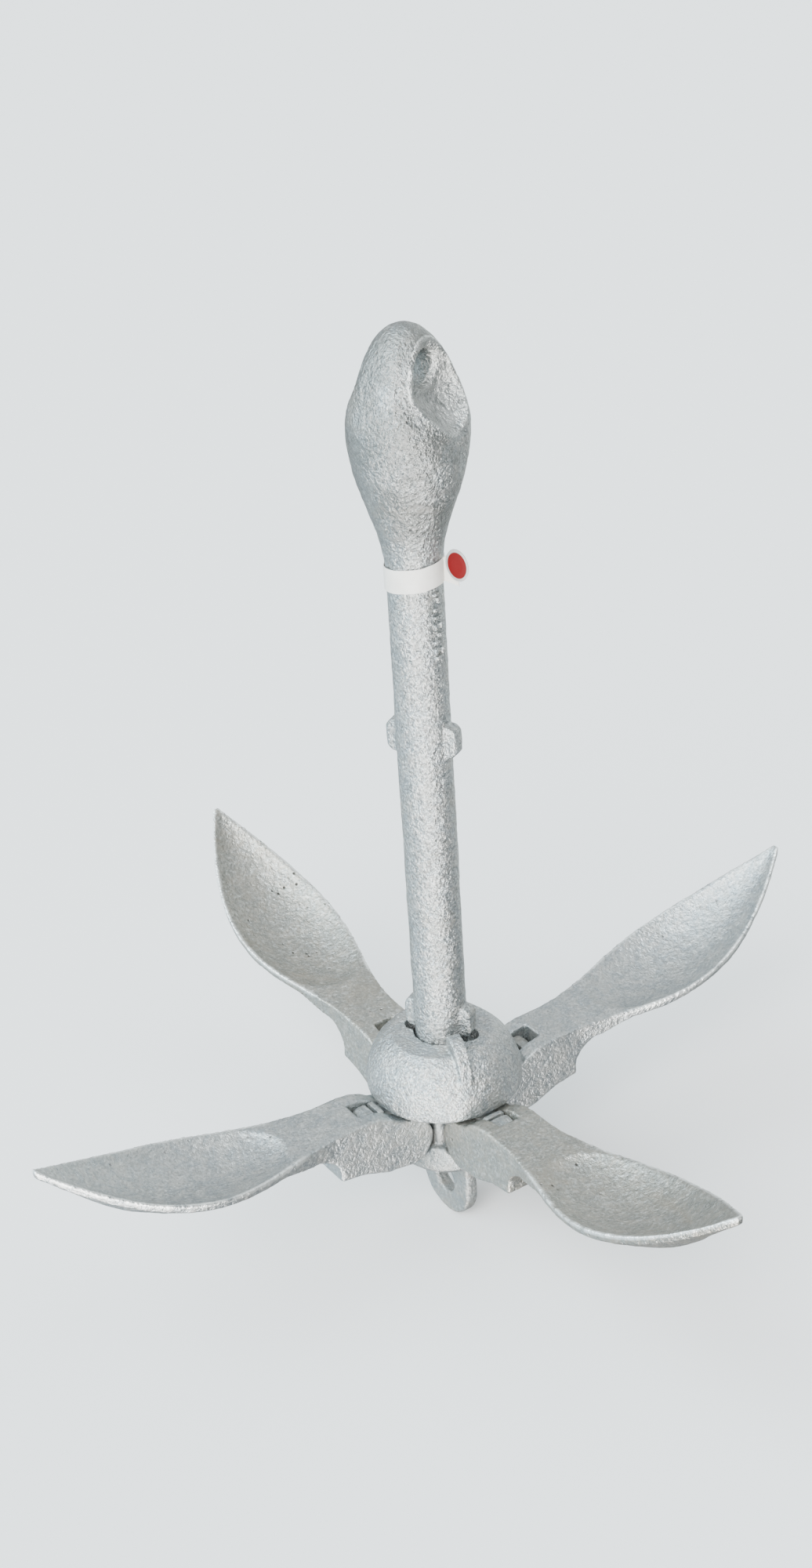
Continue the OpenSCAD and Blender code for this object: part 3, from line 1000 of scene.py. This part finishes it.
@dataclass
class Fluke:
    """A fork that grips a knuckle, run out into a hollow spoon."""

    pivot: Point = (49.0, 81.5)
    fork_w: float = 32.5
    slot_w: float = 13.5
    slot_end: float = 61.5
    nose: Point = (35.5, 70.0)
    nose_r: float = 15.5
    heel: Point = (81.0, 66.0)
    tip: Point = (245.5, 150.5)
    spoon_w: float = 32.4
    spoon_x: float = 163.0
    dish: float = 10.5
    hollow: Point = (106.0, 242.0)
    hollow_r: Point = (34.0, 27.0)
    neck_x: float = 75.0
    margin: float = 2.6
    belly: float = 7.0
    edge: float = 5.0
    blank: Optional[bpy.types.Object] = field(default=None, repr=False)

    def fork_outline(self) -> list[Point]:
        """The fork's side view, from the top of its heel round its nose."""
        hx, hz = self.heel
        return [(hx, 96.4), (self.slot_end, 95.9), (53.0, 94.5), (46.2, 91.4), (42.0, 88.4)] \
            + arc(self.nose, self.nose_r, 96, 262, 16) \
            + [(hx - 30, hz - 8.5), (hx - 15, hz - 2.5)] \
            + curve((hx, hz), (hx - 1.5, hz + 12), (hx + 3, 83.0), (hx + 20, 87.5), 6) \
            + [(hx + 20, 92.0), (hx + 2, 94.0)]

    def rim(self, t: float) -> Point:
        """Distance and height of the rim, t of the way from the neck to the tip."""
        return cubic(t, (self.neck_x, 96.2), (145.0, 97.8), (190.0, 107.0), self.tip)

    def widths(self) -> list[Point]:
        """Half the blade's width against distance from the shank."""
        widest = (self.spoon_x, self.spoon_w)
        inner = curve((self.neck_x, 15.6), (115, 19), (132, self.spoon_w), widest, 16)
        outer = curve(widest, (self.spoon_x + 31, self.spoon_w),
                      (self.tip[0] - 23.5, 18), (self.tip[0], 1.6), 24)
        return inner + outer[1:]

    def bowl(self, x: float, across: float, half: float) -> float:
        """How far the hollow lies below the rim at one place."""
        start, end = self.hollow
        if not start < x < end:
            return 0.0
        span = half - self.margin
        long, wide = self.hollow_r
        if x < start + long:
            round_end = math.sqrt(max(0.0, 1 - ((start + long - x) / long) ** 2))
            span = min(span, wide * round_end)
        if span <= 0.3 or abs(across) >= span:
            return 0.0
        along = math.sin(math.pi * ((x - start) / (end - start)) ** 0.85) ** 0.75
        return self.dish * along * (1 - (across / span) ** 2) ** 0.85

    def blade(self) -> bpy.types.Object:
        """The spoon and its neck, laid out on a grid and thickened below.

        Returns:
            A closed solid, on the side that faces along X.
        """
        columns, rows = 120, 34
        widths = self.widths()
        necks = [(self.neck_x, 12.5), (81, 13.5), (85, 12), (91, 10.5), (105, 9.5),
                 (125, self.belly), (205, self.belly), (245, self.edge)]
        Bench.clear()
        bpy.ops.mesh.primitive_grid_add(x_subdivisions=columns, y_subdivisions=rows, size=2)
        blade = Bench.named("blade")
        Bench.edit(blade)
        bpy.ops.mesh.extrude_region_move(TRANSFORM_OT_translate={"value": (0, 0, 1)})
        bpy.ops.mesh.select_all(action="SELECT")
        Bench.close()
        for vertex in blade.data.vertices:
            u, v, top = vertex.co
            x, rim = self.rim((u + 1) / 2)
            half = lookup(x, widths)
            across = half * v
            deep = self.bowl(x, across, half)
            middle = lookup(x, necks)
            thin = min(middle, self.edge + max(0.0, 8 * (118 - x) / 30))
            belly = self.dish * 0.9 * (1 - v * v) * ease(x, 100, 135) * (1 - ease(x, 205, 243))
            z = rim - deep
            if top < 0.5:
                z = min(rim - thin - belly * 0.98, z - thin * 0.9) - (middle - thin) * (1 - v * v)
                across *= 0.97
            vertex.co = (x * MM, across * MM, z * MM)
        return blade

    def build(self) -> bpy.types.Object:
        """Models the fluke once, lying along X.

        Returns:
            The fluke that the four are copied from.
        """
        fork = Bench.slab("fluke_blank", self.fork_outline(), self.fork_w)
        Bench.bevel(fork, 1.3)
        Bench.cut(fork, Bench.block("slot_cutter", (0, -self.slot_w / 2, 30),
                                    (self.slot_end, self.slot_w / 2, 140)))
        Bench.join(fork, self.blade())
        Bench.cast(fork, 0.8, 2)
        self.paint_rim_wear_and_highlight(fork)
        return fork

    def paint_rim_wear_and_highlight(self, fluke: bpy.types.Object) -> None:
        """Writes on the mesh where the rim of the spoon is brightened: partly rubbed zinc, partly
        a painted highlight.
        """
        path = [self.rim(i / 80) for i in range(81)]
        widths = self.widths()
        edge = Bench.written(fluke, "edge")
        for i, vertex in enumerate(fluke.data.vertices):
            x, y, z = vertex.co / MM
            if x > 98:
                aside = abs(abs(y) - lookup(x, widths) + 0.5)
                below = abs(z - lookup(x, path) + 0.6)
                edge[i].value = ease(x, 98, 112) \
                    * (1 - ease(aside, 0.7, 1.8)) * (1 - ease(below, 0.9, 2.2))

    def dress(self) -> None:
        """Copies, turns, finishes and seats the four flukes, and finishes their pins."""
        blank = self.build()
        px, pz = self.pivot
        out = Matrix.Translation((px * MM, 0, pz * MM))
        for side in Side:
            turn, lift, seed, finish = side.value
            fluke = Bench.copy(blank, f"fluke_{side.word}_casting")
            Bench.pucker(fluke, 0.32, 22, seed, lambda p: ease(p.x, 70, 95))
            Bench.pucker(fluke, 0.16, 4.2, seed + 1)
            tilt = Matrix.Rotation(math.radians(-lift), 4, "Y")
            fluke.data.transform(spun(turn) @ out @ tilt @ out.inverted())
            dress(fluke, finish)
            seat(fluke, f"{side.word}_fluke", "zinc_fluke", f"fluke_{side.word}")
            dress(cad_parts[f"pin_{side.word}"], Finish.PIN)
        bpy.data.objects.remove(blank)


# ------------------------------------------------------------------ the paper band


@dataclass
class PriceBand:
    """A blank paper band round the neck, its pinched tails and an oval sticker."""

    band_z: float = 397.5
    width: float = 12.5
    inner_r: float = 15.0
    paper: float = 0.34
    tilt: float = 7.0
    tail_turn: float = -50.0
    tag_half: Point = (5.6, 8.6)
    tag_at: Triple = (22.6, -1.4, 4.8)
    tag_lean: float = 12.0

    def place(self) -> Matrix:
        """Stands a piece at the band's height, with the tails along X."""
        return Matrix.Translation((0, 0, self.band_z * MM)) @ spun(self.tail_turn)

    def slope(self, x: float) -> float:
        """The rise of the slanted band at one distance."""
        return x * math.tan(math.radians(self.tilt))

    def band(self) -> bpy.types.Object:
        """The band itself, a thin sleeve that lies at a slant."""
        Bench.clear()
        bpy.ops.mesh.primitive_cylinder_add(
            vertices=120, radius=self.inner_r * MM, depth=self.width * MM,
            end_fill_type="NOTHING")
        band = Bench.named("paper_band")
        Bench.edit(band)
        bpy.ops.mesh.subdivide(number_cuts=3)
        bpy.ops.object.mode_set(mode="OBJECT")
        for vertex in band.data.vertices:
            angle = math.atan2(vertex.co.y, vertex.co.x)
            ripple = 0.18 * math.sin(3 * angle + 1) + 0.1 * math.sin(7 * angle)
            vertex.co.z += (self.slope(vertex.co.x / MM) + ripple) * MM
        Bench.modify(band, "SOLIDIFY", thickness=self.paper * MM, offset=1)
        band.data.transform(self.place())
        return band

    def tail(self, name: str, swing: float, corners: Sequence[Point]) -> bpy.types.Object:
        """One loose end of the band, a curled sheet.

        Args:
            name: The piece's name.
            swing: How far the free edge swings sideways, in millimetres.
            corners: Reach and height of its corners: two at the band, two free.

        Returns:
            The sheet, with its thickness.
        """
        Bench.clear()
        bpy.ops.mesh.primitive_grid_add(x_subdivisions=10, y_subdivisions=12, size=2)
        tail = Bench.named(name)
        (low_in, high_in, low_out, high_out) = corners
        for vertex in tail.data.vertices:
            u, v = (vertex.co.x + 1) / 2, (vertex.co.y + 1) / 2
            inner = [a + (b - a) * v for a, b in zip(low_in, high_in)]
            outer = [a + (b - a) * v for a, b in zip(low_out, high_out)]
            x, z = (a + (b - a) * u for a, b in zip(inner, outer))
            y = swing * u * u + 0.25 * math.sin(3 * v + 2 * u)
            vertex.co = (x * MM, y * MM, z * MM)
        Bench.modify(tail, "SOLIDIFY", thickness=self.paper * MM, offset=0)
        tail.data.transform(self.place())
        return tail

    def sticker(self) -> bpy.types.Object:
        """The oval sticker, domed a little, with its rim written on the mesh."""
        wide, high = self.tag_half
        Bench.clear()
        bpy.ops.mesh.primitive_cylinder_add(vertices=64, radius=1, depth=0.5 * MM)
        sticker = Bench.named("oval_sticker")
        Bench.edit(sticker)
        bpy.ops.mesh.select_all(action="DESELECT")
        bpy.ops.object.mode_set(mode="OBJECT")
        for face in sticker.data.polygons:
            face.select = face.normal.z > 0.5
        bpy.ops.object.mode_set(mode="EDIT")
        for step in (0.10, 0.10, 0.30):
            bpy.ops.mesh.inset(thickness=step, depth=0)
        Bench.close()
        rim = Bench.written(sticker, "rim")
        for i, vertex in enumerate(sticker.data.vertices):
            out = vertex.co.xy.length
            rim[i].value = out
            dome = 0.25 * (1 - out * out) * MM if vertex.co.z > 0 else 0.0
            vertex.co = (vertex.co.x * wide * MM, vertex.co.y * high * MM, vertex.co.z + dome)
        lean = Matrix.Rotation(math.radians(self.tag_lean), 4, "Z")
        stand = Matrix.Rotation(math.pi / 2, 4, "X")
        seat_at = Matrix.Translation(Vector(self.tag_at) * MM)
        sticker.data.transform(self.place() @ seat_at @ stand @ lean)
        return sticker

    def dress(self) -> None:
        """Builds, finishes and seats the band, its tails and the sticker."""
        band = self.band()
        dress(band, Finish.PAPER)
        seat(band, "anchor", "paper", "price_band")
        rise = self.slope(15)
        near = self.tail("paper_tail_near", -0.6, (
            (15.2, rise - 6.2), (15.2, rise + 6.2), (23.0, rise - 8.5), (20.5, rise + 10)))
        far = self.tail("paper_tail_far", 1.2, (
            (15.2, rise - 6.2), (15.2, rise + 6.2), (24.5, rise - 4.0), (22.5, rise + 7.5)))
        for tail in (near, far):
            dress(tail, Finish.PAPER)
            seat(tail, "anchor", "paper")
        sticker = self.sticker()
        dress(sticker, Finish.STICKER)
        seat(sticker, "anchor", "red_tag", "oval_tag")


# ------------------------------------------------------------------ the studio


def heading(azimuth: float, elevation: float) -> Vector:
    """A direction out from the anchor, from its bearing and its height in degrees."""
    a, e = math.radians(azimuth), math.radians(elevation)
    return Vector((math.cos(a) * math.cos(e), math.sin(a) * math.cos(e), math.sin(e)))


@dataclass(frozen=True)
class Panel:
    """A soft bright patch of the room: full inside the inner angle, gone past the outer."""

    azimuth: float
    elevation: float
    inner: float
    outer: float
    power: float
    tint: Colour


@dataclass
class Studio:
    """The camera, the lights and the floor."""

    camera_place: Triple = (-0.5818, -0.8919, 0.8543)
    camera_x: Triple = (0.82488, -0.56248, -0.05660)
    camera_y: Triple = (0.30978, 0.36601, 0.87754)
    camera_z: Triple = (-0.47288, -0.74140, 0.47616)
    lens: float = 53.4
    room: Colour = (0.46, 0.495, 0.51)
    panels: tuple[Panel, ...] = (
        Panel(-119, -30, 5, 34, 13.0, DAYLIGHT),
        Panel(172, 42, 18, 46, 5.0, SKY_BLUE),
        Panel(140, -28, 20, 62, 1.1, (0.70, 0.90, 1.0)),
        Panel(-138, 24, 6, 34, 4.5, DAYLIGHT),
        Panel(-119, -54, 3, 18, 9.0, DAYLIGHT),
        Panel(157, 14, 5, 20, 4.5, SKY_BLUE),
        Panel(57, 55, 20, 70, 0.55, (0.95, 0.99, 1.0)),
        Panel(16, -2, 15, 44, 1.2, (0.92, 1.0, 0.97)),
        Panel(0, -90, 25, 70, 0.2, WHITE),
    )

    @staticmethod
    def stand(name: str, data: bpy.types.ID) -> bpy.types.Object:
        """Puts a camera or a lamp into the scene."""
        made = bpy.data.objects.new(name, data)
        bpy.context.scene.collection.objects.link(made)
        return made

    def camera(self) -> None:
        """Sets the camera up."""
        data = bpy.data.cameras.new("studio_camera")
        data.sensor_fit = "AUTO"
        data.sensor_width = 36
        data.lens = self.lens
        data.clip_start, data.clip_end = 0.05, 50
        camera = self.stand("studio_camera", data)
        columns = (self.camera_x, self.camera_y, self.camera_z, self.camera_place)
        camera.matrix_world = Matrix([
            [column[row] for column in columns] for row in range(3)] + [[0, 0, 0, 1]])
        bpy.context.scene.camera = camera

    def light(self, name: str, azimuth: float, elevation: float, spread: float,
              power: float, tint: Colour) -> None:
        """One broad soft light.

        Args:
            name: The lamp's name.
            azimuth: Where it stands round the anchor, in degrees from +X.
            elevation: Its height above the horizon, in degrees.
            spread: How wide it looks from the anchor, in degrees.
            power: Its strength.
            tint: Its colour.
        """
        data = bpy.data.lights.new(name, "SUN")
        data.angle = math.radians(spread)
        data.energy = power
        data.color = tint
        lamp = self.stand(name, data)
        back = heading(azimuth, elevation)
        lamp.location = back * 2
        lamp.rotation_euler = (-back).to_track_quat("-Z", "Y").to_euler()

    def floor(self) -> None:
        """A plain pale floor, which the zinc doesn't mirror."""
        Bench.clear()
        bpy.ops.mesh.primitive_plane_add(size=30)
        floor = Bench.named("floor")
        g = Graph(bpy.data.materials.new("floor_pale"))
        floor.data.materials.append(g.finish(Base_Color=(0.93, 0.93, 0.93, 1), Roughness=0.9))
        floor.visible_glossy = floor.visible_diffuse = False

    def surround(self) -> None:
        """A dim room with broad soft panels, as the zinc mirrors it."""
        world = bpy.data.worlds.new("studio_room")
        bpy.context.scene.world = world
        g = Graph(world)
        way = g.node("ShaderNodeTexCoord", out="Generated")
        glow = g.node("ShaderNodeCombineXYZ", None, dict(enumerate(self.room)))
        for panel in self.panels:
            facing = g.node("ShaderNodeVectorMath", {"operation": "DOT_PRODUCT"},
                            {0: way, 1: heading(panel.azimuth, panel.elevation)}, out="Value")
            share = facing.between(math.cos(math.radians(panel.outer)),
                                   math.cos(math.radians(panel.inner)))
            light = g.node("ShaderNodeVectorMath", {"operation": "SCALE"}, {
                0: tuple(c * panel.power for c in panel.tint), "Scale": share})
            glow = g.node("ShaderNodeVectorMath", {"operation": "ADD"}, {0: glow, 1: light})
        room = g.node("ShaderNodeBackground", None, {"Color": glow})
        g.node("ShaderNodeOutputWorld", None, {"Surface": room}, out=None)

    def build(self) -> None:
        """Sets up everything that isn't the anchor."""
        self.camera()
        self.floor()
        self.surround()
        self.light("key", -140, 38, 30, 2.4, (1, 0.99, 0.97))
        self.light("fill", -60, 60, 40, 0.5, (0.95, 0.98, 1))


def main() -> None:
    """Builds the studio and the anchor."""
    logging.basicConfig(level=logging.INFO, format="%(message)s")
    Bench.clear()
    Studio().build()
    for assembly in (Shank(), Collar(), Crown(), Fluke(), PriceBand()):
        assembly.dress()
    Bench.clear()


if __name__ == "__main__":
    main()
